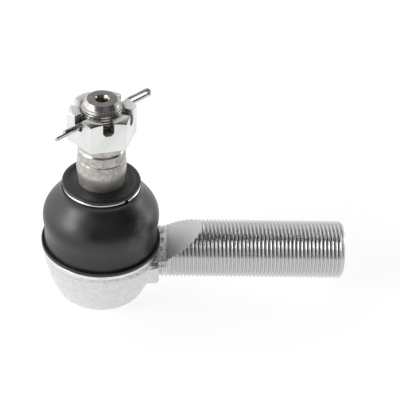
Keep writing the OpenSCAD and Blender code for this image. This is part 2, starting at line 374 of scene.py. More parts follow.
class NodeTree:
    """A Geometry Nodes tree with named inputs, used as a modifier on an object."""

    def __init__(self, name: str) -> None:
        """Starts an empty tree with a geometry input and output."""
        self.tree = bpy.data.node_groups.new(name, "GeometryNodeTree")
        self.tree.interface.new_socket("Geometry", in_out="INPUT", socket_type="NodeSocketGeometry")
        self.tree.interface.new_socket("Geometry", in_out="OUTPUT", socket_type="NodeSocketGeometry")
        self.identifiers: dict[str, str] = {}

    def add_input(self, name: str, kind: str) -> None:
        """Adds a named input of a socket type such as NodeSocketFloat."""
        self.identifiers[name] = self.tree.interface.new_socket(name, in_out="INPUT", socket_type=kind).identifier

    def node(self, kind: str, **settings) -> bpy.types.Node:
        """Adds a node and sets its properties."""
        made = self.tree.nodes.new(kind)
        for key, value in settings.items():
            setattr(made, key, value)
        return made

    def link(self, source: bpy.types.NodeSocket, target: bpy.types.NodeSocket) -> None:
        """Links one socket to another."""
        self.tree.links.new(source, target)

    def finish(self, geometry: bpy.types.NodeSocket, material: bpy.types.NodeSocket) -> None:
        """Makes the tree's geometry real, dresses it and puts it out."""
        realize = self.node("GeometryNodeRealizeInstances")
        dress = self.node("GeometryNodeSetMaterial")
        result = self.node("NodeGroupOutput")
        self.link(geometry, realize.inputs["Geometry"])
        self.link(realize.outputs["Geometry"], dress.inputs["Geometry"])
        self.link(material, dress.inputs["Material"])
        self.link(dress.outputs["Geometry"], result.inputs["Geometry"])

    def run(self, obj: bpy.types.Object, **values) -> bpy.types.Object:
        """Runs the tree on an object and keeps the result as a plain mesh.

        Args:
            obj: the object to work on.
            **values: a value for each named input.

        Returns:
            The same object.
        """
        modifier = obj.modifiers.new(self.tree.name, "NODES")
        modifier.node_group = self.tree
        for name, value in values.items():
            modifier[self.identifiers[name]] = value
        return apply_modifiers(obj)


def wire_coil_tree() -> NodeTree:
    """Builds the tree that winds a wire round the Z axis.

    Returns:
        The tree, with inputs Rotations, StartRadius, EndRadius, Height, WireRadius and Material.
    """
    coil = NodeTree("wire_coil")
    for name in ("Rotations", "StartRadius", "EndRadius", "Height", "WireRadius"):
        coil.add_input(name, "NodeSocketFloat")
    coil.add_input("Material", "NodeSocketMaterial")
    given = coil.node("NodeGroupInput").outputs
    spiral = coil.node("GeometryNodeCurveSpiral")
    section = coil.node("GeometryNodeCurvePrimitiveCircle")
    tube = coil.node("GeometryNodeCurveToMesh")
    spiral.inputs["Resolution"].default_value = COIL_STEPS
    section.inputs["Resolution"].default_value = WIRE_SIDES
    tube.inputs["Fill Caps"].default_value = True
    for name, socket in (("Rotations", "Rotations"), ("StartRadius", "Start Radius"), ("EndRadius", "End Radius"),
                         ("Height", "Height")):
        coil.link(given[name], spiral.inputs[socket])
    coil.link(given["WireRadius"], section.inputs["Radius"])
    coil.link(spiral.outputs["Curve"], tube.inputs["Curve"])
    coil.link(section.outputs["Curve"], tube.inputs["Profile Curve"])
    coil.finish(tube.outputs["Mesh"], given["Material"])
    return coil


def ring_tree() -> NodeTree:
    """Builds the tree that repeats a mesh in equal turns about the Z axis.

    Returns:
        The tree, with inputs Count, Step (radians) and Material.
    """
    ring = NodeTree("ring_of_copies")
    ring.add_input("Count", "NodeSocketInt")
    ring.add_input("Step", "NodeSocketFloat")
    ring.add_input("Material", "NodeSocketMaterial")
    given = ring.node("NodeGroupInput").outputs
    line = ring.node("GeometryNodeMeshLine")
    line.inputs["Offset"].default_value = (0, 0, 0)
    index = ring.node("GeometryNodeInputIndex")
    turn = ring.node("ShaderNodeMath", operation="MULTIPLY")
    angles = ring.node("ShaderNodeCombineXYZ")
    place = ring.node("GeometryNodeInstanceOnPoints")
    ring.link(given["Count"], line.inputs["Count"])
    ring.link(index.outputs["Index"], turn.inputs[0])
    ring.link(given["Step"], turn.inputs[1])
    ring.link(turn.outputs[0], angles.inputs["Z"])
    ring.link(line.outputs["Mesh"], place.inputs["Points"])
    ring.link(given["Geometry"], place.inputs["Instance"])
    ring.link(angles.outputs[0], place.inputs["Rotation"])
    ring.finish(place.outputs["Instances"], given["Material"])
    return ring


# ------------------------------------------------------------------------------------------- materials


class Shader:
    """Adds nodes to a material or a shader node group in a few words."""

    def __init__(self, tree: bpy.types.NodeTree) -> None:
        """Wraps a node tree."""
        self.tree = tree

    def add(self, kind: str, **inputs) -> bpy.types.Node:
        """Adds a node, and links or sets its named inputs.

        Args:
            kind: the node's type.
            **inputs: a socket or a value for each input, with _ for a space in its name.

        Returns:
            The node.
        """
        made = self.tree.nodes.new(kind)
        for name, value in inputs.items():
            self.feed(made.inputs[name.replace("_", " ")], value)
        return made

    def feed(self, socket: bpy.types.NodeSocket, value) -> None:
        """Links a socket, or sets its value."""
        if isinstance(value, bpy.types.NodeSocket):
            self.tree.links.new(value, socket)
        else:
            socket.default_value = value

    def math(self, operation: str, a, b=0.0, c=0.0) -> bpy.types.NodeSocket:
        """Adds a math node and returns its result."""
        made = self.tree.nodes.new("ShaderNodeMath")
        made.operation = operation
        for socket, value in zip(made.inputs, (a, b, c)):
            self.feed(socket, value)
        return made.outputs[0]

    def span(self, value, low_in: float, high_in: float, low_out=0.0, high_out=1.0) -> bpy.types.NodeSocket:
        """Maps a value from one span to another with soft ends, and returns the result."""
        made = self.tree.nodes.new("ShaderNodeMapRange")
        made.interpolation_type = "SMOOTHSTEP"
        for socket, given in zip(made.inputs, (value, low_in, high_in, low_out, high_out)):
            self.feed(socket, given)
        return made.outputs[0]

    def mix(self, amount, a, b) -> bpy.types.NodeSocket:
        """Mixes two colours and returns the result."""
        made = self.tree.nodes.new("ShaderNodeMix")
        made.data_type = "RGBA"
        self.feed(made.inputs[0], amount)
        self.feed(made.inputs[6], a)
        self.feed(made.inputs[7], b)
        return made.outputs[2]

    def polar(self, where: bpy.types.NodeSocket) -> tuple[bpy.types.NodeSocket, bpy.types.NodeSocket]:
        """Turns object coordinates into the radius and the height about the stud's axis, in millimetres."""
        split = self.add("ShaderNodeSeparateXYZ", Vector=where)
        flat = self.add("ShaderNodeCombineXYZ", X=split.outputs["X"], Y=split.outputs["Y"])
        length = self.add("ShaderNodeVectorMath", Vector=flat.outputs[0])
        length.operation = "LENGTH"
        return self.math("DIVIDE", length.outputs["Value"], MM), self.math("DIVIDE", split.outputs["Z"], MM)

    def group(self, tree: bpy.types.NodeTree, **inputs) -> bpy.types.Node:
        """Places a shader node group and feeds its named inputs."""
        made = self.tree.nodes.new("ShaderNodeGroup")
        made.node_tree = tree
        for name, value in inputs.items():
            self.feed(made.inputs[name], value)
        return made


def new_group(name: str, inputs: dict[str, str], output: str) -> tuple[Shader, bpy.types.Node, bpy.types.Node]:
    """Starts a shader node group with one value output.

    Args:
        name: the group's name.
        inputs: socket type of each named input.
        output: name of the value that the group puts out.

    Returns:
        The shader helper, the group's input node and its output node.
    """
    tree = bpy.data.node_groups.new(name, "ShaderNodeTree")
    for key, kind in inputs.items():
        tree.interface.new_socket(key, in_out="INPUT", socket_type=kind)
    tree.interface.new_socket(output, in_out="OUTPUT", socket_type="NodeSocketFloat")
    shader = Shader(tree)
    return shader, shader.add("NodeGroupInput"), shader.add("NodeGroupOutput")


class Effects:
    """The shader node groups that several finishes share."""

    def __init__(self) -> None:
        """Builds each group once."""
        self.grain = self._grain()
        self.blotches = self._blotches()
        self.band = self._band()
        self.turning = self._turning()

    @staticmethod
    def _grain() -> bpy.types.NodeTree:
        """Fine pebbled height, with its number of grains per metre."""
        s, given, out = new_group("fine_grain", {"Vector": "NodeSocketVector", "Scale": "NodeSocketFloat"}, "Height")
        coarse = s.add("ShaderNodeTexNoise", Vector=given.outputs["Vector"], Scale=given.outputs["Scale"], Detail=3.0)
        double = s.math("MULTIPLY", given.outputs["Scale"], 3.1)
        fine = s.add("ShaderNodeTexNoise", Vector=given.outputs["Vector"], Scale=double, Detail=2.0)
        height = s.math("MULTIPLY_ADD", fine.outputs[0], 0.4, s.math("MULTIPLY", coarse.outputs[0], 0.6))
        s.feed(out.inputs["Height"], height)
        return s.tree

    @staticmethod
    def _blotches() -> bpy.types.NodeTree:
        """Soft patches, between a low and a high value of their noise."""
        kinds = {"Vector": "NodeSocketVector", "Scale": "NodeSocketFloat",
                 "Low": "NodeSocketFloat", "High": "NodeSocketFloat"}
        s, given, out = new_group("blotches", kinds, "Mask")
        noise = s.add("ShaderNodeTexNoise", Vector=given.outputs["Vector"], Scale=given.outputs["Scale"],
                      Detail=4.0, Distortion=0.6)
        s.feed(out.inputs["Mask"], s.span(noise.outputs[0], given.outputs["Low"], given.outputs["High"]))
        return s.tree

    @staticmethod
    def _band() -> bpy.types.NodeTree:
        """Mask that is 1 while a value lies between two limits, with a soft edge."""
        kinds = {"Value": "NodeSocketFloat", "Low": "NodeSocketFloat",
                 "High": "NodeSocketFloat", "Soft": "NodeSocketFloat"}
        s, given, out = new_group("band", kinds, "Mask")
        g = given.outputs
        rise = s.span(g["Value"], s.math("SUBTRACT", g["Low"], g["Soft"]), s.math("ADD", g["Low"], g["Soft"]))
        fall = s.span(g["Value"], s.math("SUBTRACT", g["High"], g["Soft"]), s.math("ADD", g["High"], g["Soft"]))
        s.feed(out.inputs["Mask"], s.math("MULTIPLY", rise, s.math("SUBTRACT", 1.0, fall)))
        return s.tree

    @staticmethod
    def _turning() -> bpy.types.NodeTree:
        """Fine lathe lines across an axis, from the distance along it."""
        s, given, out = new_group("turning_marks", {"Along": "NodeSocketFloat", "Lines": "NodeSocketFloat"}, "Height")
        noise = s.add("ShaderNodeTexNoise")
        noise.noise_dimensions = "1D"
        s.feed(noise.inputs["W"], s.math("MULTIPLY", given.outputs["Along"], given.outputs["Lines"]))
        s.feed(noise.inputs["Scale"], 1.0)
        s.feed(noise.inputs["Detail"], 4.0)
        s.feed(out.inputs["Height"], noise.outputs[0])
        return s.tree


Colour = tuple[float, float, float]


def rgba(colour: Colour) -> tuple[float, float, float, float]:
    """Adds an alpha of 1 to a colour."""
    return (*colour, 1.0)


@dataclass(frozen=True)
class Finish:
    """A surface finish: its colours, gloss and fine relief. Subclasses add what only they have."""

    name: str
    slot: str
    colour: Colour
    second: Colour
    metallic: float = 1.0
    rough_low: float = 0.3
    rough_high: float = 0.4
    grain_scale: float = 1500.0
    grain_depth: float = 0.01
    patch_scale: float = 60.0

    def build(self, effects: Effects) -> bpy.types.Material:
        """Builds the material.

        Args:
            effects: the shared node groups.

        Returns:
            The material.
        """
        material = bpy.data.materials.new(self.name)
        material.use_nodes = True
        material.diffuse_color = rgba(self.colour)
        s = Shader(material.node_tree)
        principled = material.node_tree.nodes["Principled BSDF"]
        where = s.add("ShaderNodeTexCoord").outputs["Object"]
        patches = s.group(effects.blotches, Vector=where, Scale=self.patch_scale, Low=0.35, High=0.68)
        grain = s.group(effects.grain, Vector=where, Scale=self.grain_scale)
        colour = s.mix(patches.outputs[0], rgba(self.colour), rgba(self.second))
        rough = s.span(patches.outputs[0], 0.0, 1.0, self.rough_low, self.rough_high)
        height = s.math("MULTIPLY", grain.outputs[0], self.grain_depth)
        colour, rough, height = self.dress(s, effects, where, colour, rough, height)
        bump = s.add("ShaderNodeBump", Height=height, Strength=1.0, Distance=MM)
        s.feed(principled.inputs["Metallic"], self.metallic)
        s.feed(principled.inputs["Base Color"], colour)
        s.feed(principled.inputs["Roughness"], rough)
        s.feed(principled.inputs["Normal"], bump.outputs[0])
        self.settle(principled)
        return material

    def dress(self, s: Shader, effects: Effects, where, colour, rough, height) -> tuple:
        """Adds what only this finish has. Heights are in millimetres.

        Args:
            s: the material's shader helper.
            effects: the shared node groups.
            where: the object coordinates.
            colour: the colour so far.
            rough: the roughness so far.
            height: the relief so far.

        Returns:
            The colour, roughness and height to use.
        """
        return colour, rough, height

    def settle(self, principled: bpy.types.Node) -> None:
        """Sets what is the same all over the surface on the shader's own sockets."""


@dataclass(frozen=True)
class ForgedZinc(Finish):
    """Bright zinc over a forging, with a rough trimmed flash line and a milled clearance cut."""

    flash_low: float = -0.6
    flash_high: float = 2.9
    line_low: float = 1.0
    cut_x: float = 33.0
    thread_x: float = 34.0
    thread_rough: float = 0.20
    flash_colour: Colour = (0.13, 0.13, 0.12)
    speck_colour: Colour = (0.22, 0.22, 0.21)
    thread_colour: Colour = (0.58, 0.58, 0.58)
    milled_colour: Colour = (0.84, 0.84, 0.84)

    def dress(self, s: Shader, effects: Effects, where, colour, rough, height) -> tuple:
        """Adds the flash line's speckle, the thread's even gloss and the milled cut's scratches."""
        split = s.add("ShaderNodeSeparateXYZ", Vector=where)
        x, z = s.math("DIVIDE", split.outputs["X"], MM), s.math("DIVIDE", split.outputs["Z"], MM)
        wobble = s.add("ShaderNodeTexNoise", Vector=where, Scale=260.0, Detail=2.0)
        shifted = s.math("MULTIPLY_ADD", s.math("SUBTRACT", wobble.outputs[0], 0.5), 2.2, z)
        to_block = s.span(x, 4.0, 29.0)
        lower = s.math("MULTIPLY_ADD", to_block, self.flash_low - self.line_low, self.line_low)
        flash = s.group(effects.band, Value=shifted, Low=lower, High=self.flash_high, Soft=0.4)
        flash_here = s.math("MULTIPLY", flash.outputs[0], s.span(x, 32.0, 36.0, 1.0, 0.0))
        stretched = s.add("ShaderNodeMapping", Vector=where, Scale=(0.45, 0.45, 1.0))
        speckle = s.group(effects.blotches, Vector=stretched.outputs[0], Scale=1100.0, Low=0.50, High=0.62)
        strength = s.math("MULTIPLY", s.span(x, -6.0, 28.0, 0.06, 0.72), flash_here)
        colour = s.mix(s.math("MULTIPLY", strength, speckle.outputs[0]), colour, rgba(self.flash_colour))
        marks = s.group(effects.blotches, Vector=where, Scale=420.0, Low=0.735, High=0.765)
        colour = s.mix(s.math("MULTIPLY", marks.outputs[0], 0.6), colour, rgba(self.speck_colour))
        rough = s.math("MULTIPLY_ADD", flash_here, 0.14, rough)
        threaded = s.math("MULTIPLY", s.span(x, self.thread_x, self.thread_x + 2.0),
                          s.math("SUBTRACT", 1.0, flash_here))
        rough = s.math("MULTIPLY_ADD", s.math("SUBTRACT", self.thread_rough, rough), threaded, rough)
        colour = s.mix(threaded, colour, rgba(self.thread_colour))
        height = s.math("MULTIPLY", height, s.math("MULTIPLY_ADD", threaded, -0.95, 1.0))
        slope = math.tan(math.radians(CUT_SLOPE))
        plane = s.math("SUBTRACT", s.math("MULTIPLY_ADD", x, slope, NECK_TOP - self.cut_x * slope), z)
        cut = s.group(effects.band, Value=plane, Low=-0.25, High=0.25, Soft=0.08)
        milled = s.math("MULTIPLY", cut.outputs[0], s.span(x, self.cut_x, self.cut_x + 2.0))
        colour = s.mix(s.math("MULTIPLY", milled, 0.8), colour, rgba(self.milled_colour))
        rough = s.math("MULTIPLY_ADD", milled, 0.38, rough)
        pits = s.add("ShaderNodeTexNoise", Vector=where, Scale=900.0, Detail=5.0)
        rough_relief = s.math("MULTIPLY", flash_here, s.math("MULTIPLY", pits.outputs[0], 0.5))
        height = s.math("ADD", height, rough_relief)
        height = s.math("MULTIPLY_ADD", milled, s.math("MULTIPLY", pits.outputs[0], 0.06), height)
        return colour, rough, height


@dataclass(frozen=True)
class TurnedSteel(Finish):
    """Bare turned steel with fine lathe lines, a polished relief, painted shade on its end face and a stained turning
    centre.
    """

    relief_low: float = field(default_factory=lambda: mount("stud_taper")["pos_m"][2] / MM
                              + mount("stud_taper")["dims"]["length_mm"])
    relief_high: float = field(default_factory=lambda: low("castle_nut", 2))
    end_z: float = field(default_factory=lambda: high("ball_stud", 2))
    centre_r: float = 3.1
    painted_end_shade: Colour = (0.22, 0.205, 0.195)
    stain_and_painted_shade: Colour = (0.21, 0.16, 0.10)

    def dress(self, s: Shader, effects: Effects, where, colour, rough, height) -> tuple:
        """Adds the lathe lines, the polished relief, the painted shade on the end face and the stain in the centre."""
        r, z = s.polar(where)
        marks = s.group(effects.turning, Along=z, Lines=9.0)
        height = s.math("MULTIPLY_ADD", marks.outputs[0], 0.012, height)
        relief = s.group(effects.band, Value=z, Low=self.relief_low, High=self.relief_high, Soft=0.1)
        chamfer = s.group(effects.band, Value=z, Low=self.relief_high, High=self.end_z - 0.08, Soft=0.05)
        polished = s.math("MAXIMUM", relief.outputs[0], chamfer.outputs[0])
        rough = s.math("MULTIPLY", rough, s.math("MULTIPLY_ADD", polished, -0.5, 1.0))
        height = s.math("MULTIPLY", height, s.math("MULTIPLY_ADD", polished, -0.85, 1.0))
        centre = s.math("MULTIPLY", s.span(r, self.centre_r - 0.5, self.centre_r, 1.0, 0.0),
                        s.span(z, self.end_z - 8.0, self.end_z - 7.0))
        # Painted shade: the flat end face is darkened towards a dark grey.
        face = s.span(z, self.end_z - 0.2, self.end_z - 0.1, 0.0, 0.75)
        colour = s.mix(face, colour, rgba(self.painted_end_shade))
        return s.mix(centre, colour, rgba(self.stain_and_painted_shade)), rough, height


@dataclass(frozen=True)
class NutZinc(Finish):
    """White zinc, with painted shade inside the slots and on the crown near the thread."""

    bore_r: float = 10.05
    shade_reach: float = 3.2
    stain_and_painted_shade: Colour = (0.30, 0.33, 0.27)

    def dress(self, s: Shader, effects: Effects, where, colour, rough, height) -> tuple:
        """Darkens the slots' inner walls and the crown near the bore with painted shade."""
        r, _ = s.polar(where)
        # Painted shade: darker towards the bore, where the nut meets the stud.
        inner = s.span(r, self.bore_r, self.bore_r + self.shade_reach, 0.75, 0.0)
        return s.mix(inner, colour, rgba(self.stain_and_painted_shade)), rough, height


@dataclass(frozen=True)
class BootRubber(Finish):
    """Moulded black rubber with a soft sheen, faint marks, and a painted mottled reflection on the right of its
    shoulder.
    """

    metallic: float = 0.0
    reflection_low: float = 19.0
    reflection_high: float = 39.0
    film_and_reflection_colour: Colour = (0.105, 0.099, 0.092)

    def dress(self, s: Shader, effects: Effects, where, colour, rough, height) -> tuple:
        """Adds faint smudges all over, a painted mottled reflection on the right of the shoulder, and the slight
        unevenness of moulded rubber.
        """
        smudge_and_reflection = s.group(effects.blotches, Vector=where, Scale=110.0, Low=0.42, High=0.66)
        split = s.add("ShaderNodeSeparateXYZ", Vector=where)
        z = s.math("DIVIDE", split.outputs["Z"], MM)
        # Painted reflection: lighter mottled patches on the shoulder's right side stand in for the right light's
        # reflection; elsewhere there is only a faint film.
        shoulder = s.group(effects.band, Value=z, Low=self.reflection_low, High=self.reflection_high, Soft=4.0)
        painted_reflection = s.math("MULTIPLY", shoulder.outputs[0], s.span(split.outputs["X"], 0.011, 0.019))
        film_and_reflection = s.math("MULTIPLY", smudge_and_reflection.outputs[0], s.math("MULTIPLY_ADD", painted_reflection, 0.75, 0.06))
        colour = s.mix(film_and_reflection, colour, rgba(self.film_and_reflection_colour))
        rough = s.math("MULTIPLY_ADD", film_and_reflection, 0.10, rough)
        waves = s.add("ShaderNodeTexNoise", Vector=where, Scale=70.0, Detail=1.0)
        return colour, rough, s.math("MULTIPLY_ADD", waves.outputs[0], 0.35, height)

    def settle(self, principled: bpy.types.Node) -> None:
        """Sets the rubber's surface reflection."""
        principled.inputs["Specular IOR Level"].default_value = 0.5
        principled.inputs["IOR"].default_value = 1.52


class Finishes:
    """Every material of the part, by its slot in the record."""

    def __init__(self) -> None:
        """Builds the shared effects, then each finish."""
        effects = Effects()
        made: list[Finish] = [
            ForgedZinc("forged_zinc", "housing_steel", (0.705, 0.705, 0.705), (0.665, 0.665, 0.665), metallic=0.9,
                       rough_low=0.26, rough_high=0.38, grain_scale=900.0, grain_depth=0.035, patch_scale=420.0),
            TurnedSteel("turned_steel", "stud_steel", (0.54, 0.515, 0.49), (0.40, 0.375, 0.355), metallic=0.8,
                        rough_low=0.36, rough_high=0.52, grain_scale=900.0, grain_depth=0.03, patch_scale=430.0),
            NutZinc("nut_zinc", "nut_zinc", (0.79, 0.80, 0.785), (0.73, 0.74, 0.725), metallic=0.95,
                    rough_low=0.24, rough_high=0.34, grain_scale=1200.0, grain_depth=0.012),
            Finish("pin_zinc", "pin_zinc", (0.62, 0.62, 0.60), (0.42, 0.42, 0.40),
                   rough_low=0.16, rough_high=0.26, grain_scale=1600.0, grain_depth=0.01, patch_scale=220.0),
            BootRubber("boot_rubber", "boot_rubber", (0.0135, 0.0130, 0.0125), (0.019, 0.0185, 0.018),
                       rough_low=0.33, rough_high=0.43, grain_scale=2600.0, grain_depth=0.006, patch_scale=45.0),
            Finish("ring_wire", "ring_wire", (0.86, 0.86, 0.86), (0.76, 0.76, 0.76),
                   rough_low=0.16, rough_high=0.28, grain_scale=1800.0, grain_depth=0.006),
            Finish("insert_steel", "insert_steel", (0.80, 0.80, 0.78), (0.70, 0.70, 0.67),
                   rough_low=0.24, rough_high=0.36, grain_scale=1500.0, grain_depth=0.01),
            Finish("cover_steel", "cover_steel", (0.74, 0.74, 0.73), (0.62, 0.62, 0.60),
                   rough_low=0.28, rough_high=0.42, grain_scale=1300.0, grain_depth=0.02, patch_scale=110.0),
            Finish("seal_rubber", "seal_rubber", (0.02, 0.02, 0.02), (0.03, 0.03, 0.03), metallic=0.0,
                   rough_low=0.5, rough_high=0.62, grain_scale=2400.0, grain_depth=0.01),
            Finish("spring_steel", "spring_steel", (0.20, 0.20, 0.21), (0.12, 0.11, 0.10),
                   rough_low=0.26, rough_high=0.40, grain_scale=1800.0, grain_depth=0.01, patch_scale=300.0),
            Finish("plate_steel", "plate_steel", (0.55, 0.55, 0.54), (0.45, 0.45, 0.44),
                   rough_low=0.30, rough_high=0.45, grain_scale=1300.0, grain_depth=0.015),
            Finish("seat_plastic", "seat_plastic", (0.72, 0.68, 0.56), (0.60, 0.55, 0.42), metallic=0.0,
                   rough_low=0.34, rough_high=0.5, grain_scale=1200.0, grain_depth=0.01),
        ]
        self.by_slot = {finish.slot: finish.build(effects) for finish in made}


FINISHES = Finishes()


def place_piece(obj: bpy.types.Object, body: Body, slot: str, *nodes: str) -> bpy.types.Object:
    """Dresses a finished piece, sets it on its body and hides the CAD nodes that it stands for.

    Args:
        obj: the piece, at the origin.
        body: the body that it moves with.
        slot: the record's material slot.
        *nodes: the CAD nodes that it replaces.

    Returns:
        The piece.
    """
    obj.data.materials.clear()
    obj.data.materials.append(FINISHES.by_slot[slot])
    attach(obj, body.value)
    if nodes:
        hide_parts(*nodes)
    obj.data.calc_loop_triangles()
    LOG.info("%s: %d triangles, on %s", obj.name, len(obj.data.loop_triangles), body.value)
    return obj


# --------------------------------------------------------------------------------------------- threads


@dataclass
class Thread:
    """A right-handed metric screw thread cut on a rod that starts as a plain cylinder."""

    major_r: float
    pitch: float
    depth: float
    start: float
    end: float
    segments: int = 72
    # Share of a pitch, and share of the depth, at each point of one turn. These are rolled, rounded crests.
    profile: tuple[tuple[float, float], ...] = (
        (-0.13, 0.10), (-0.04, 0.0), (0.04, 0.0), (0.13, 0.10), (0.26, 0.52), (0.37, 0.90), (0.46, 1.0),
        (0.54, 1.0), (0.63, 0.90), (0.74, 0.52))

    def rod(self, name: str) -> bpy.types.Object:
        """Builds the threaded rod along +Z, a little longer than asked at both ends, to be trimmed.

        Args:
            name: the object's name.

        Returns:
            A closed mesh object.
        """
        per = len(self.profile)
        turns = math.ceil((self.end - self.start) / self.pitch) + 3
        n = self.segments
        rows = turns * per
        share = np.array([p[0] for p in self.profile] * turns) + np.repeat(np.arange(turns), per)
        sunk = np.array([p[1] for p in self.profile] * turns)
        angle = np.arange(n) * TURN / n
        z = self.start - 1.5 * self.pitch + self.pitch * (share[:, None] + angle[None] / TURN)
        r = np.broadcast_to((self.major_r - self.depth * sunk)[:, None], z.shape)
        verts = np.stack([r * np.cos(angle), r * np.sin(angle), z], 2).reshape(-1, 3)
        faces: list[Sequence[int]] = []
        for i in range(rows - 1):
            for j in range(n - 1):
                a = i * n + j
                faces.append((a, a + 1, a + n + 1, a + n))
            if i + per + 1 < rows:
                faces.append((i * n + n - 1, (i + per) * n, (i + per + 1) * n, (i + 1) * n + n - 1))
        first = list(range(n)) + [k * n for k in range(per, 0, -1)]
        top = rows - 1
        last = [top * n + j for j in range(n)] + [k * n + n - 1 for k in range(top - 1, top - per - 1, -1)]
        centres = np.array([[0, 0, z[0].min() - 0.2], [0, 0, z[-1].max() + 0.2]])
        for loop, centre in ((first, len(verts)), (last, len(verts) + 1)):
            faces += [(centre, loop[k], loop[(k + 1) % len(loop)]) for k in range(len(loop))]
        return tidy_mesh(make_object(name, np.vstack([verts, centres]), faces))


# Wide crests with narrow grooves between them
FINE_PROFILE = (
    (-0.25, 0.05), (-0.2, 0.0), (0.2, 0.0), (0.25, 0.05), (0.42, 0.9), (0.48, 1.0), (0.52, 1.0), (0.58, 0.9))


def along_x(obj: bpy.types.Object) -> bpy.types.Object:
    """Turns a mesh so that what ran along +Z runs along +X."""
    obj.data.transform(Matrix.Rotation(math.pi / 2, 4, "Y"))
    return obj


# ---------------------------------------------------------------------------------------------- socket


@dataclass
class Socket:
    """The forged socket with its neck block and threaded shank, and the cover under the ball.

    The thread's depth is a share of its pitch, and the block's draft is a share of its height.
    """

    rim_z: float = 3.0
    girth_z: float = 7.1
    wall_at_cover: float = 1.4
    bottom_round: float = 2.6
    block_half: float = 17.0
    block_depth: float = 11.6
    block_top: float = 1.4
    block_round: float = 2.2
    blend: float = 2.6
    neck_land: float = 2.9
    neck_fillet: float = 7.0
    chamfer: float = 1.4
    pitch: float = 2.0
    thread_depth: float = 0.36
    flash_z: float = 1.3
    flash_height: float = 0.2
    spigot_top: float = 13.98
    rim_wide: float = 4.05
    throat_r: float = 14.74
    throat_top_r: float = 16.03
    shoulder: float = 3.2
    draft: float = 0.03
    lip_reach: float = 2.65
    lip_thick: float = 2.3
    cover_room: float = 2.6
    cover_fit: float = 0.05
    shank_r: float = field(init=False)
    shank_end: float = field(init=False)
    socket_r: float = field(init=False)
    bottom_z: float = field(init=False)
    spigot_r: float = field(init=False)
    cover_z: float = field(init=False)
    cover_r: float = field(init=False)
    bore_r: float = field(init=False)

    def __post_init__(self) -> None:
        """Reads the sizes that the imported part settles."""
        self.shank_r = mount("shank_thread")["dims"]["r_mm"]
        self.shank_end = high("housing", 0)
        self.socket_r = -low("housing", 0)
        self.bottom_z = low("housing", 2)
        self.spigot_r = self.socket_r - self.rim_wide
        self.cover_r = high("end_cover", 0)
        self.bore_r = high("upper_seat", 0) + self.cover_fit
        self.cover_z = self.bottom_z + self.lip_thick

    @property
    def block_x(self) -> float:
        """Distance of the neck block's end face from the stud's axis."""
        return self.socket_r + 0.15

    @property
    def barrel_r(self) -> float:
        """Radius of the barrel curve of the socket's wall."""
        drop = self.socket_r - self.cover_r - self.cover_fit - self.wall_at_cover
        return ((self.girth_z - self.cover_z) ** 2 + drop ** 2) / (2 * drop)

    def wall_r(self, z: np.ndarray) -> np.ndarray:
        """Radius of the socket's outside at a height."""
        return self.socket_r - self.barrel_r + np.sqrt(self.barrel_r ** 2 - (z - self.girth_z) ** 2)

    def block_distance(self, x: np.ndarray, y: np.ndarray, z: np.ndarray) -> np.ndarray:
        """Distance of points from the rounded neck block, negative inside it."""
        draft = self.draft * (z - self.block_top)
        q = np.stack([np.abs(x - self.block_x / 2) - self.block_x / 2,
                      np.abs(y) - self.block_half - draft,
                      np.abs(z - (self.block_top - self.block_depth) / 2) - (self.block_top + self.block_depth) / 2])
        q = q + self.block_round
        outside = np.linalg.norm(np.maximum(q, 0), axis=0)
        return outside + np.minimum(q.max(0), 0) - self.block_round

    def outer_r(self, angle: np.ndarray, wall: np.ndarray, z: np.ndarray) -> np.ndarray:
        """Radius of the socket and its neck block together, with a soft blend where they meet.

        Args:
            angle: angle about the stud's axis, for each column.
            wall: the plain socket's radius, for each row.
            z: the height of each row.

        Returns:
            A radius for each row and column.
        """
        a, w, h = np.broadcast_arrays(angle[None, :], wall[:, None], z[:, None])
        near, far = w - 0.5, w + 14.0

        def field_at(r: np.ndarray) -> np.ndarray:
            """Blended distance from the solid at a radius."""
            socket = r - w
            block = self.block_distance(r * np.cos(a), r * np.sin(a), h)
            mixed = np.clip(0.5 + 0.5 * (block - socket) / self.blend, 0, 1)
            return block + (socket - block) * mixed - self.blend * mixed * (1 - mixed)

        near, far = near.copy(), far.copy()
        for _ in range(26):
            middle = (near + far) / 2
            inside = field_at(middle) < 0
            near, far = np.where(inside, middle, near), np.where(inside, far, middle)
        # The side away from the block keeps its plain barrel
        return np.where(np.cos(a) > 0.1, np.maximum((near + far) / 2, w), w)

    def flash(self, angle: np.ndarray, z: np.ndarray) -> np.ndarray:
        """Height of the trimmed flash line that the forging dies leave round the socket.

        Args:
            angle: angle of each column.
            z: height of each row.

        Returns:
            How far each point stands out, in millimetres.
        """
        a, h = np.meshgrid(angle, z)
        rng = np.random.default_rng(7)
        ragged = sum(rng.uniform(0.3, 1.0) / k * np.sin(k * 3 * a + rng.uniform(0, TURN)) for k in range(1, 14))
        middle = self.flash_z + 0.28 * ragged
        ridge = np.exp(-((h - middle) / 0.85) ** 2)
        rough = sum(rng.uniform(0.4, 1.0) * np.sin(k * a + rng.uniform(3, 9) * h + rng.uniform(0, TURN))
                    for k in (41, 67, 89, 131, 173))
        return self.flash_height * ridge * (1.0 + 0.22 * rough)

    def columns(self) -> np.ndarray:
        """Angles round the socket, closer together at the neck block."""
        block = np.radians(np.arange(-46.0, 46.0, 0.8))
        rest = np.radians(np.arange(46.0, 314.0, 2.5))
        return np.concatenate([block, rest])

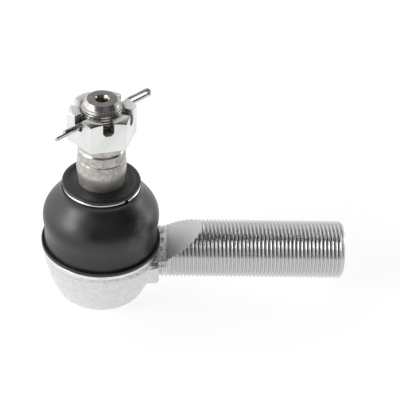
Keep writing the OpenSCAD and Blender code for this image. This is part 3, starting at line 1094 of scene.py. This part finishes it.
    def forging(self) -> bpy.types.Object:
        """Builds the socket with its neck block, hollow, as one closed mesh."""
        lower = rounded([(self.cover_r - 4.0, self.bottom_z), (self.wall_r(np.array(self.bottom_z)), self.bottom_z,
                         self.bottom_round), (self.wall_r(np.array(self.bottom_z + 6)), self.bottom_z + 6)],
                        closed=False, step=12)[1:-1]
        first = lower[-1][1] + 0.4
        coarse = np.arange(first, -12.6, 0.55)
        fine = np.arange(-12.6, self.rim_z - 0.25, 0.3)
        outer_z = np.concatenate([coarse, fine])
        outer = np.column_stack([self.wall_r(outer_z), outer_z])
        seat_r = self.cover_r + self.cover_fit
        crimp_r = seat_r - self.lip_reach
        ledge, cover_top = self.spigot_top - self.shoulder, self.cover_z + self.cover_room
        inner = rounded([
            (self.socket_r - 0.05, self.rim_z, 0.25), (self.spigot_r, self.rim_z, 0.3),
            (self.spigot_r, self.spigot_top, 0.8), (self.throat_top_r, self.spigot_top, 0.5),
            (self.throat_r, ledge, 0.3), (self.bore_r, ledge), (self.bore_r, cover_top), (seat_r, cover_top),
            (seat_r, self.cover_z), (crimp_r, self.cover_z, 0.3), (crimp_r, self.bottom_z, 0.9)], closed=False)[:-1]
        tail = rounded([(crimp_r, self.cover_z), (crimp_r, self.bottom_z, 0.9), (self.cover_r, self.bottom_z)],
                       closed=False)[1:-1]
        outline = np.vstack([lower, outer, inner, tail])
        angle = self.columns()
        rows, n = len(outline), len(angle)
        z = outline[:, 1]
        r = np.repeat(outline[:, :1], n, 1)
        skin = len(lower) + len(outer)
        r[:skin] = self.outer_r(angle, outline[:skin, 0], z[:skin])
        r[:skin] += self.flash(angle, z[:skin])
        points = np.stack([r * np.cos(angle), r * np.sin(angle), np.repeat(z[:, None], n, 1)], 2).reshape(-1, 3)
        faces = [(i * n + j, i * n + (j + 1) % n, (i + 1) % rows * n + (j + 1) % n, (i + 1) % rows * n + j)
                 for i in range(rows) for j in range(n)]
        return tidy_mesh(make_object("forging", points, faces))

    def shank(self) -> bpy.types.Object:
        """Builds the threaded shank, trimmed to length and cut away for the boot."""
        start = self.block_x - 5.0
        depth = self.thread_depth * self.pitch
        rod = along_x(Thread(self.shank_r, self.pitch, depth, start, self.shank_end).rod("shank"))
        envelope = along_x(revolve("envelope", rounded([
            (0, start), (self.shank_r + 1, start), (self.shank_r + 1, self.shank_end - self.chamfer - 1),
            (self.shank_r - self.chamfer, self.shank_end, 0.25), (0, self.shank_end)], closed=False), 96))
        combine(rod, envelope, Side.KEEP)
        foot, tall, inside = self.socket_r + self.neck_land, 30.0, 10.0
        top = NECK_TOP + tall
        far = foot + tall / math.tan(math.radians(CUT_SLOPE))
        cut = prism("boot_cut", rounded([
            (inside, NECK_TOP), (foot, NECK_TOP, self.neck_fillet), (far, top), (inside, top)], step=6),
            -25, 25, lambda u, v, w: (u, w, v))
        return combine(rod, cut, Side.CUT)

    def build(self) -> None:
        """Builds the housing, then dresses it."""
        housing = self.forging()
        housing.name = "housing_forging"
        combine(housing, self.shank(), Side.JOIN)
        crisp_flats(tidy_mesh(housing), 12.0)
        place_piece(housing, Body.SOCKET, "housing_steel", "housing")
        self.build_cover()

    def build_cover(self) -> None:
        """Builds the pressed end cover with its dished middle."""
        top, base = high("end_cover", 2), self.cover_z + self.cover_fit
        dish, drop = 12.0, 1.2
        groove_z, groove, groove_deep = (top + base) / 2, 0.66, 1.3
        outline = rounded([
            (0, base - drop), (dish - 1.2, base - drop, 0.9), (dish, base, 0.7), (self.cover_r, base, 0.3),
            (self.cover_r, groove_z - groove, 0.1), (self.cover_r - groove_deep, groove_z - groove, 0.2),
            (self.cover_r - groove_deep, groove_z + groove, 0.2), (self.cover_r, groove_z + groove, 0.1),
            (self.cover_r, top, 0.3), (dish - 1.3, top, 0.6), (dish - 2.4, top - drop, 0.8), (0, top - drop)],
            closed=False)
        place_piece(revolve("pressed_end_cover", outline, 96), Body.SOCKET, "cover_steel", "end_cover")


# ------------------------------------------------------------------------------------------------ boot


@dataclass
class Boot:
    """The rubber boot with its steel insert, and the wire ring round its neck."""

    wall: float = 2.8
    lip_t: float = 2.0
    ring_wire: float = 1.8
    ring_gap: float = 5.0
    ring_end: float = -57.0
    flange_edge: float = 1.2
    flange_top: float = 7.3
    foot_z: float = 7.0
    foot_groove: float = 0.6
    waist_r: float = 28.8
    waist_z: float = 14.0
    bulge_r: float = 29.5
    bulge_z: float = 21.98
    neck_r: float = 20.0
    neck_z: float = 39.86
    groove_r: float = 17.9
    lip_bore: float = 11.65
    insert_turn_up: float = 2.1
    sheet: float = 0.9
    flex_start: float = 14.2
    flex_end: float = 39.2
    insert_top: float = field(init=False)
    bottom: float = field(init=False)
    top: float = field(init=False)
    flange_r: float = field(init=False)
    sleeve_r: float = field(init=False)

    def __post_init__(self) -> None:
        """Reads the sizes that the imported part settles."""
        self.bottom, self.top = low("dust_boot", 2), high("dust_boot", 2)
        self.flange_r = high("dust_boot", 0)
        self.insert_top = high("boot_insert", 2)
        self.sleeve_r = high("boot_insert", 0) - 4.2

    def outside(self) -> list[tuple[float, ...]]:
        """Radii of the boot's outside from its foot to its neck, as corners."""
        points: list[tuple[float, ...]] = [
            (self.waist_r + 0.25, self.foot_z - self.foot_groove, 0.5), (self.waist_r + 0.1, self.foot_z + 0.9)]
        for z in np.linspace(self.foot_z + 1.6, self.waist_z, 6):
            points.append((self.waist_r + 0.12 * (1 - (z - self.foot_z) / (self.waist_z - self.foot_z)), z))
        for z in np.linspace(self.waist_z, self.bulge_z, 9)[1:]:
            u = (z - self.waist_z) / (self.bulge_z - self.waist_z)
            points.append((self.waist_r + (self.bulge_r - self.waist_r) * (1 - math.cos(math.pi * u)) / 2, z))
        for z in np.linspace(self.bulge_z, self.neck_z, 28)[1:]:
            u = (z - self.bulge_z) / (self.neck_z - self.bulge_z)
            points.append((self.neck_r + (self.bulge_r - self.neck_r) * max(0.0, 1 - u ** 2.2) ** 1.86, z))
        return points

    def outline(self) -> np.ndarray:
        """The boot's whole section, as one closed outline."""
        seat, top = self.bottom, self.top
        outside = self.outside()
        lip_r = self.neck_r - 0.3
        lip_low, inner_lip = top - self.lip_t, self.lip_bore + 3.5
        step_r, step_z = self.flange_r - 1.1, seat + 1.15
        inside = [(r - self.wall, z) for r, z, *_ in reversed(outside) if 14.6 < z < 37.5]
        corners: list[tuple[float, ...]] = [
            (step_r, seat, 0.1), (step_r, step_z, 0.1), (self.flange_r - 0.25, seat + 1.2, 0.2),
            (self.flange_r, seat + 1.6, 0.4), (self.flange_r, self.flange_top, self.flange_edge),
            (self.bulge_r, self.flange_top - 0.1, 0.5)]
        corners += outside
        corners += [
            (self.groove_r, self.neck_z + 0.3, 0.5), (self.groove_r, lip_low - 0.1, 0.4), (lip_r, lip_low, 0.55),
            (lip_r, top - 0.25, 0.9), (lip_r - 2.4, top - 0.1, 0.8), (lip_r - 3.4, top - 0.9, 0.9),
            (self.lip_bore + 2.2, top - 0.75, 1.2), (self.lip_bore, top, 0.25), (self.lip_bore, top - 1.6, 0.2),
            (self.lip_bore + 0.5, top - 2.2, 0.3), (self.lip_bore, top - 2.9, 0.3), (self.lip_bore, top - 5.6, 0.5),
            (inner_lip, top - 6.2, 1.5)]
        corners += [c for c in inside if c[0] > inner_lip + 0.1]
        sleeve, insert = self.sleeve_r + 0.95, self.insert_top + 0.05
        corners += [(self.sleeve_r, 13.6), (self.sleeve_r, insert), (sleeve, insert), (sleeve, seat)]
        return rounded(corners)

    def build(self) -> None:
        """Builds the boot, its insert and its ring."""
        boot = revolve("rubber_dust_boot", self.outline(), 144)
        boot.data.materials.clear()
        boot.data.materials.append(FINISHES.by_slot["boot_rubber"])
        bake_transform(boot)
        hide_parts("dust_boot")
        LOG.info("%s: %d faces, between %s and %s", boot.name, len(boot.data.polygons), "boot", "boot_neck")
        self.build_insert()
        self.build_ring()

    def build_insert(self) -> None:
        """Builds the pressed steel insert in the boot's base, whose edge shows under the flange."""
        base, top = low("boot_insert", 2), high("boot_insert", 2)
        edge, sleeve, sheet = high("boot_insert", 0), self.sleeve_r, self.sheet
        rim, turned = edge - 0.65, base + self.insert_turn_up
        outline = rounded([
            (sleeve, base, 0.3), (edge, base, 0.35), (edge, turned, 0.3), (rim, turned, 0.2), (rim, base + sheet, 0.1),
            (sleeve + sheet, base + sheet, 0.2), (sleeve + sheet, top, 0.25), (sleeve, top, 0.25)])
        place_piece(revolve("boot_base_insert", outline, 128), Body.BOOT, "insert_steel", "boot_insert")

    def build_ring(self) -> None:
        """Winds the wire ring, whose ends pass each other round the boot's neck."""
        wire = self.ring_wire / 2
        level = (low("boot_wire_ring", 2) + high("boot_wire_ring", 2)) / 2
        outer = high("boot_wire_ring", 0) - wire
        ring = make_object("neck_wire_ring", np.zeros((0, 3)), [])
        WIRE_COIL.run(ring, Rotations=(360 - self.ring_gap) / 360, StartRadius=(outer - 0.6) * MM,
                      EndRadius=(outer + 0.1) * MM, Height=0.1 * MM, WireRadius=wire * 0.92 * MM,
                      Material=FINISHES.by_slot["ring_wire"])
        turned = Matrix.Rotation(math.radians(self.ring_end + self.ring_gap), 4, "Z")
        ring.data.transform(Matrix.Translation((0, 0, (level - 0.05) * MM)) @ turned)
        tidy_mesh(ring)
        place_piece(ring, Body.BOOT_NECK, "ring_wire", "boot_wire_ring")


# ------------------------------------------------------------------------------------------------ stud


@dataclass
class Stud:
    """The ball stud with its taper, relief and thread, and the nut and split pin on it.

    The pin lies along its own length, measured from the stud's axis: the legs' end is on the negative side.
    """

    ball_r: float = 17.5
    neck_r: float = 9.25
    land_r: float = 11.6
    relief_r: float = 10.9
    thread_r: float = 10.0
    pitch: float = 1.5
    thread_depth: float = 0.68
    end_flat_r: float = 7.3
    centre_r: float = 3.2
    taper_slope: float = 1 / 16
    witness_at: float = 6.9
    witness_deep: float = 0.34
    pin_hole_r: float = 2.0
    turn: float = 43.1
    nut_half: float = 15.0
    slot_width: float = 5.5
    slot_below_pin: float = 2.5
    slot_chamfer: float = 1.35
    slot_chamfer_high: float = 1.7
    pin_roll: float = 41.0
    pin_tip: float = 32.4
    pin_leg: float = 1.52
    pin_long_leg: float = 29.5
    pin_leg_step: float = 4.0
    pin_gap: float = 0.06
    eye_start: float = 15.2
    eye_half: float = 0.65
    eye_spread: float = 3.6
    taper_z: float = field(init=False)
    taper_len: float = field(init=False)
    taper_r: float = field(init=False)
    ball_low: float = field(init=False)
    top: float = field(init=False)
    nut_z: float = field(init=False)
    nut_top: float = field(init=False)
    pin_z: float = field(init=False)

    def __post_init__(self) -> None:
        """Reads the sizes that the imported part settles."""
        taper = mount("stud_taper")
        self.taper_z = taper["pos_m"][2] / MM
        self.taper_len = taper["dims"]["length_mm"]
        self.taper_r = taper["dims"]["r_mm"]
        self.ball_low = low("ball_stud", 2)
        self.top = high("ball_stud", 2)
        self.nut_z, self.nut_top = low("castle_nut", 2), high("castle_nut", 2)
        self.pin_z = (low("split_pin", 2) + high("split_pin", 2)) / 2

    def body_outline(self) -> np.ndarray:
        """Section of the stud below its thread, from the flat under the ball upwards."""
        ball = []
        start = math.asin(self.ball_low / self.ball_r)
        stop = math.acos(self.neck_r / self.ball_r)
        for a in np.linspace(start, stop, 40):
            ball.append((self.ball_r * math.cos(a), self.ball_r * math.sin(a)))
        taper_top = self.taper_z + self.taper_len
        taper_top_r = self.taper_r - self.taper_len * self.taper_slope
        groove = self.taper_z + self.witness_at
        groove_r = self.taper_r - self.witness_at * self.taper_slope
        groove_floor = groove_r - self.witness_deep
        upper = rounded([
            (self.neck_r, ball[-1][1] + 0.4), (self.neck_r, 21.0, 6.0), (self.land_r, 35.5, 3.0),
            (self.land_r, 45.5, 4.0), (self.taper_r - 0.12, 50.6, 2.5), (self.taper_r, self.taper_z + 0.6, 1.5),
            (groove_r + 0.02, groove - 0.45, 0.12), (groove_floor, groove - 0.1, 0.1),
            (groove_floor, groove + 0.1, 0.1), (groove_r - 0.05, groove + 0.4, 0.12),
            (taper_top_r, taper_top - 0.1, 0.35), (self.relief_r + 0.05, taper_top + 0.75, 0.5),
            (self.relief_r - 0.3, taper_top + 3.2, 4.0), (self.relief_r, self.nut_z - 0.1, 0.2),
            (self.thread_r - 1.3, self.nut_z + 0.1), (0, self.nut_z + 0.1)], closed=False)
        return np.vstack([[(0, self.ball_low)], ball, upper])

    def build(self) -> None:
        """Builds the stud, the nut and the pin."""
        stud = revolve("ball_stud_turned", self.body_outline(), 128)
        start, top, outside = self.nut_z - 0.6, self.top, self.thread_r + 1
        thread = Thread(self.thread_r - 0.06, self.pitch, self.thread_depth * self.pitch, start, top,
                        segments=64, profile=FINE_PROFILE).rod("stud_thread")
        envelope = revolve("stud_envelope", rounded([
            (0, start), (outside, start), (outside, top - 6.4), (self.thread_r - 0.2, top - 4.2, 1.0),
            (self.end_flat_r + 1.6, top - 1.9, 0.5), (self.end_flat_r, top, 0.3), (0, top)], closed=False), 96)
        combine(thread, envelope, Side.KEEP)
        combine(stud, thread, Side.JOIN)
        drill = revolve("centre_drill", np.array([
            (0, top - 9.0), (1.6, top - 8.0), (1.7, top - 3.6), (self.centre_r - 0.15, top - 0.75),
            (self.centre_r + 0.35, top), (self.centre_r + 0.5, top + 0.2), (0, top + 0.2)]), 48)
        combine(stud, drill, Side.CUT)
        angle = np.arange(32) * TURN / 32
        circle = self.pin_hole_r * np.column_stack([np.cos(angle), np.sin(angle)])
        hole = prism("pin_hole", circle, -20, 20, lambda u, v, w: (w, u, v + self.pin_z))
        hole.data.transform(Matrix.Rotation(math.radians(self.turn), 4, "Z"))
        combine(stud, hole, Side.CUT)
        tidy_mesh(stud)
        place_piece(stud, Body.STUD, "stud_steel", "ball_stud")
        self.build_nut()
        self.build_pin()

    def build_nut(self) -> None:
        """Builds the castle nut: a chamfered hexagon with six slots in its crown."""
        base, top, bore = self.nut_z, self.nut_top, self.thread_r + 0.05
        corner = self.nut_half / math.cos(math.radians(30))
        angles = [math.radians(30 + 60 * k) for k in range(6)]
        hexagon = np.array([(corner * math.cos(a), corner * math.sin(a)) for a in angles])
        nut = prism("castle_nut_slotted", hexagon, base, top, lambda u, v, w: (u, v, w))
        envelope = revolve("nut_envelope", rounded([
            (bore, base - 0.5), (bore, top - 0.9, 0.2), (bore + 1.1, top + 0.05), (corner - 2.6, top + 0.05, 0.3),
            (corner + 0.6, top - 1.75), (corner + 0.6, base + 0.7), (corner - 0.5, base - 0.05, 0.2),
            (bore + 1.2, base - 0.05), (bore + 0.6, base - 0.5)]), 128)
        combine(nut, envelope, Side.KEEP)
        wide, floor, above = self.slot_width / 2, self.pin_z - self.slot_below_pin, top + 3
        flat, wall = wide - self.slot_chamfer, floor + self.slot_chamfer_high
        slot = prism("nut_slot", rounded([
            (-wide, above), (-wide, wall, 0.4), (-flat, floor, 0.4), (flat, floor, 0.4), (wide, wall, 0.4),
            (wide, above)], step=15), 4, self.nut_half + 6, lambda u, v, w: (w, u, v))
        RING.run(slot, Count=6, Step=math.radians(60), Material=FINISHES.by_slot["nut_zinc"])
        combine(nut, slot, Side.CUT)
        nut.data.transform(Matrix.Rotation(math.radians(self.turn), 4, "Z"))
        tidy_mesh(nut)
        bevel(nut, 0.42, 3, 28.0)
        tidy_mesh(nut)
        place_piece(nut, Body.STUD, "nut_zinc", "castle_nut")

    def build_pin(self) -> None:
        """Builds the split pin from one half-round wire: two straight legs and a long open eye."""
        leg, gap, half, longer = self.pin_leg, self.pin_gap, self.eye_half, self.pin_long_leg
        side = np.linspace(0, 1, 15)[1:]
        ease = (1 - np.cos(math.pi * side)) / 2
        leave = np.column_stack([self.eye_start + self.eye_spread * side, gap + (half - gap) * ease])
        bend = np.radians(np.linspace(90, -90, 25))
        middle = self.pin_tip - leg - half
        tip = np.column_stack([middle + half * np.cos(bend), half * np.sin(bend)])
        straight = np.column_stack([np.linspace(-longer, self.eye_start, 24), np.full(24, gap)])
        strand = np.vstack([straight, leave])
        shorter = strand[strand[:, 0] >= -longer + self.pin_leg_step]
        flat = np.vstack([shorter, tip, strand[::-1] * (1, -1)])[::-1]
        path = np.column_stack([flat, np.zeros(len(flat))])
        a = np.radians(np.linspace(0, 180, 11))
        half_round = np.column_stack([-leg * np.sin(a), leg * np.cos(a)])[::-1]
        pin = sweep("split_pin_wire", path, half_round)
        turned = Matrix.Rotation(math.radians(self.turn), 4, "Z") @ Matrix.Rotation(math.radians(self.pin_roll), 4, "X")
        pin.data.transform(Matrix.Translation((0, 0, self.pin_z * MM)) @ turned)
        bevel(pin, 0.18, 2, 40.0)
        tidy_mesh(pin)
        place_piece(pin, Body.STUD, "pin_zinc", "split_pin")


# ---------------------------------------------------------------------------------------- hidden pieces


@dataclass
class InnerParts:
    """The pieces that the socket hides: they keep their CAD shape and get a real finish."""

    slots: dict[str, str] = field(default_factory=lambda: {
        "cover_seal": "seal_rubber", "spring_plate": "plate_steel", "lower_seat": "seat_plastic",
        "upper_seat": "seat_plastic"})
    wire: float = 1.1
    turns: float = 2.25
    wide_r: float = 18.7
    narrow_r: float = 13.4

    def build(self) -> None:
        """Dresses the CAD nodes, and winds the spring."""
        for node, slot in self.slots.items():
            obj = frame["nodes"][node]
            obj.material_slots[0].material = FINISHES.by_slot[slot]
            LOG.info("%s: CAD node, finish %s", node, slot)
        base, top = low("preload_spring", 2) + self.wire, high("preload_spring", 2) - self.wire
        spring = make_object("conical_spring", np.zeros((0, 3)), [])
        WIRE_COIL.run(spring, Rotations=self.turns, StartRadius=self.wide_r * MM, EndRadius=self.narrow_r * MM,
                      Height=(top - base) * MM, WireRadius=self.wire * MM,
                      Material=FINISHES.by_slot["spring_steel"])
        spring.data.transform(Matrix.Translation((0, 0, base * MM)))
        tidy_mesh(spring)
        place_piece(spring, Body.SOCKET, "spring_steel", "preload_spring")


# ---------------------------------------------------------------------------------------------- studio


@dataclass(frozen=True)
class SoftBox:
    """An oval light that faces the part. Its direction is seen from the part, and its sizes are in metres."""

    name: str
    direction: tuple[float, float, float]
    wide: float
    tall: float
    radiance: float

    def hang(self, distance: float) -> None:
        """Hangs the light at a distance from the part, out of the camera's sight."""
        data = bpy.data.lights.new(self.name, "AREA")
        data.shape = "ELLIPSE"
        data.size, data.size_y = self.wide, self.tall
        data.energy = self.radiance * math.pi * (math.pi * self.wide * self.tall / 4)
        light = bpy.data.objects.new(self.name, data)
        bpy.context.scene.collection.objects.link(light)
        ray = Vector(self.direction).normalized()
        light.location = ray * distance
        light.rotation_euler = (-ray).to_track_quat("-Z", "Y").to_euler()
        light.visible_camera = False


SOFT_BOXES = (
    SoftBox("soft_box_left", (-0.807, -0.306, 0.505), 0.64, 0.50, 6.5),
    SoftBox("soft_box_right", (0.93, 0.31, 0.175), 0.36, 0.36, 5.0),
    SoftBox("overhead_left", (-0.343, 0.242, 0.908), 0.15, 0.15, 3.0),
    SoftBox("overhead_right", (0.437, 0.363, 0.823), 0.15, 0.15, 3.0),
)


@dataclass
class Studio:
    """The pale floor, the soft light and the camera. The camera's place is in millimetres, the rest in metres."""

    camera_at: tuple[float, float, float] = (5.58, -544.25, 450.26)
    camera_right: tuple[float, float, float] = (0.99783, -0.04253, 0.05026)
    camera_down: tuple[float, float, float] = (0.01387, -0.61057, -0.79183)
    lens: float = 122.25
    floor_size: float = 4.0
    floor_glow: float = 0.83
    floor_grey: float = 0.30
    surround: float = 0.84
    dark_share: float = 0.03
    dark_wide: float = 0.80
    dark_high: float = 0.96
    dark_turn: float = 30.0
    glow: float = 0.25
    left_share: float = 2.2
    light_distance: float = 1.1

    def build(self) -> None:
        """Builds the camera, the floor, the surround and the lights."""
        self.build_camera()
        self.build_floor()
        self.build_surround()
        for box in SOFT_BOXES:
            box.hang(self.light_distance)
        bpy.context.scene.view_settings.view_transform = "Standard"

    def build_camera(self) -> None:
        """Sets the camera where the part is seen from the front and above."""
        data = bpy.data.cameras.new("camera")
        data.sensor_width = 36.0
        data.lens = self.lens
        data.clip_start, data.clip_end = 0.01, 20.0
        camera = bpy.data.objects.new("camera", data)
        bpy.context.scene.collection.objects.link(camera)
        right, down = Vector(self.camera_right).normalized(), Vector(self.camera_down).normalized()
        back = right.cross(-down)
        turn = Matrix((right, -down, back)).transposed().to_4x4()
        camera.matrix_world = Matrix.Translation(Vector(self.camera_at) * MM) @ turn
        bpy.context.scene.camera = camera

    def build_floor(self) -> None:
        """Lays the floor just under the part. It can be seen from above only."""
        bottom = low("housing", 2) - 0.02
        half = self.floor_size / 2 / MM
        corners = np.array([(-half, -half, bottom), (half, -half, bottom), (half, half, bottom), (-half, half, bottom)])
        floor = make_object("floor", corners, [(0, 1, 2, 3)])
        material = bpy.data.materials.new("pale_floor")
        material.use_nodes = True
        principled = material.node_tree.nodes["Principled BSDF"]
        principled.inputs["Base Color"].default_value = (*[self.floor_grey] * 3, 1.0)
        principled.inputs["Roughness"].default_value = 0.9
        principled.inputs["Emission Color"].default_value = (1.0, 1.0, 1.0, 1.0)
        principled.inputs["Emission Strength"].default_value = self.floor_glow
        s = Shader(material.node_tree)
        below = s.add("ShaderNodeNewGeometry").outputs["Backfacing"]
        s.feed(principled.inputs["Alpha"], s.math("SUBTRACT", 1.0, below))
        floor.data.materials.append(material)

    def build_surround(self) -> None:
        """Makes a white surround, brighter on the left, with a dark opening turned to the viewer's right."""
        world = bpy.data.worlds.new("studio")
        bpy.context.scene.world = world
        world.use_nodes = True
        s = Shader(world.node_tree)
        direction = s.add("ShaderNodeTexCoord").outputs["Generated"]
        towards = Matrix.Rotation(math.radians(self.dark_turn), 3, "Z") @ Vector(self.camera_at).normalized()
        across = Vector((0, 0, 1)).cross(towards).normalized()
        ahead, beside, above = (self.along(s, direction, v) for v in (towards, across, towards.cross(across)))
        shares = [s.math("POWER", s.math("ABSOLUTE", s.math("DIVIDE", part, reach)), 4.0)
                  for part, reach in ((beside, self.dark_wide), (above, self.dark_high))]
        oval = s.span(s.math("SQRT", s.math("ADD", *shares)), 0.92, 1.08, 1.0, 0.0)
        glow = s.span(ahead, math.cos(math.radians(24)), math.cos(math.radians(8)), 0.0, self.glow)
        dark = s.math("MULTIPLY", s.math("MULTIPLY", oval, s.span(ahead, 0.0, 0.2)), s.math("SUBTRACT", 1.0, glow))
        split = s.add("ShaderNodeSeparateXYZ", Vector=direction)
        back = s.span(split.outputs["Z"], 0.30, 0.75, 1.0, 0.85)
        back = s.math("MULTIPLY", back, s.span(split.outputs["X"], -0.80, -0.42, self.left_share, 1.0))
        bright = s.math("MULTIPLY", back, self.surround)
        strength = s.math("MULTIPLY", bright, s.math("SUBTRACT", 1.0, s.math("MULTIPLY", dark, 1 - self.dark_share)))
        background = world.node_tree.nodes["Background"]
        background.inputs["Color"].default_value = (1.0, 1.0, 1.0, 1.0)
        s.feed(background.inputs["Strength"], strength)

    @staticmethod
    def along(s: Shader, direction: bpy.types.NodeSocket, axis: Vector) -> bpy.types.NodeSocket:
        """Component of a direction along an axis."""
        dot = s.add("ShaderNodeVectorMath", Vector=direction)
        dot.operation = "DOT_PRODUCT"
        dot.inputs[1].default_value = axis
        return dot.outputs["Value"]


WIRE_COIL = wire_coil_tree()
RING = ring_tree()


def main() -> None:
    """Builds the studio and every piece in order."""
    logging.basicConfig(level=logging.INFO, format="%(name)s: %(message)s")
    Studio().build()
    Socket().build()
    InnerParts().build()
    Boot().build()
    Stud().build()


if __name__ == "__main__":
    main()
